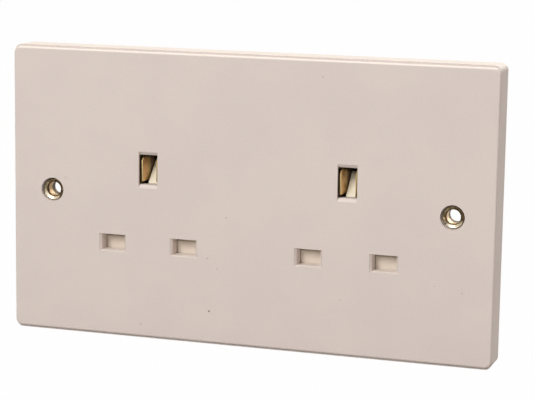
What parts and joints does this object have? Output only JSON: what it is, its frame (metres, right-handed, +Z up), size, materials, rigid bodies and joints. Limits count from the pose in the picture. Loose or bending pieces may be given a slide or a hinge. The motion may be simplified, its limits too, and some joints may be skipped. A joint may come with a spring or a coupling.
{
  "type": "uk twin socket",
  "caption": "Flat rectangular wall socket outlet with sprung safety shutters behind its pin apertures, brass contacts and rear wire terminals.",
  "frame": {"origin": "centre of the plate on the wall plane that its rim seats on", "axes": "+X to the right as seen from the front, +Y into the wall, +Z up"},
  "size_m": [0.145, 0.027, 0.085],
  "materials": {
    "plate_plastic": "fine matte moulded, pinkish beige",
    "shutter_plastic": "satin moulded, cream",
    "housing_plastic": "satin moulded, off-white",
    "contact_brass": "stamped, bright",
    "eyelet_brass": "dull, lightly tarnished",
    "terminal_brass": "drawn and cut",
    "spring_steel": "drawn wire",
    "screw_steel": "plated"
  },
  "bodies": {
    "outlet": {"face_plate": "plate_plastic", "rear_housing": "housing_plastic", "left_shutter_spring": "spring_steel", "right_shutter_spring": "spring_steel", "cover_screws": "screw_steel", "fixing_eyelets": "eyelet_brass", "earth_strap": "contact_brass", "live_busbar": "contact_brass", "neutral_busbar": "contact_brass", "left_earth_contact": "contact_brass", "left_live_contact": "contact_brass", "left_neutral_contact": "contact_brass", "right_earth_contact": "contact_brass", "right_live_contact": "contact_brass", "right_neutral_contact": "contact_brass", "neutral_terminal": "terminal_brass", "earth_terminal": "terminal_brass", "live_terminal": "terminal_brass"},
    "left_shutter": {"left_shutter": "shutter_plastic"},
    "right_shutter": {"right_shutter": "shutter_plastic"},
    "neutral_terminal_screw": {"neutral_terminal_screw": "screw_steel"},
    "earth_terminal_screw": {"earth_terminal_screw": "screw_steel"},
    "live_terminal_screw": {"live_terminal_screw": "screw_steel"}
  },
  "joints": [
    {"name": "left_shutter_slide", "type": "slide", "parent": "outlet", "child": "left_shutter", "axis": [0, 0, -1], "range_m": [0, 0.006], "stiffness_N_per_m": 120, "springref_m": -0.005, "deforming": ["left_shutter_spring"]},
    {"name": "right_shutter_slide", "type": "slide", "parent": "outlet", "child": "right_shutter", "axis": [0, 0, -1], "range_m": [0, 0.006], "stiffness_N_per_m": 120, "springref_m": -0.005, "deforming": ["right_shutter_spring"]},
    {"name": "neutral_clamp", "type": "slide", "parent": "outlet", "child": "neutral_terminal_screw", "axis": [0, -1, 0], "range_m": [0, 0.0035]},
    {"name": "earth_clamp", "type": "slide", "parent": "outlet", "child": "earth_terminal_screw", "axis": [0, -1, 0], "range_m": [0, 0.0035]},
    {"name": "live_clamp", "type": "slide", "parent": "outlet", "child": "live_terminal_screw", "axis": [0, -1, 0], "range_m": [0, 0.0035]}
  ]
}
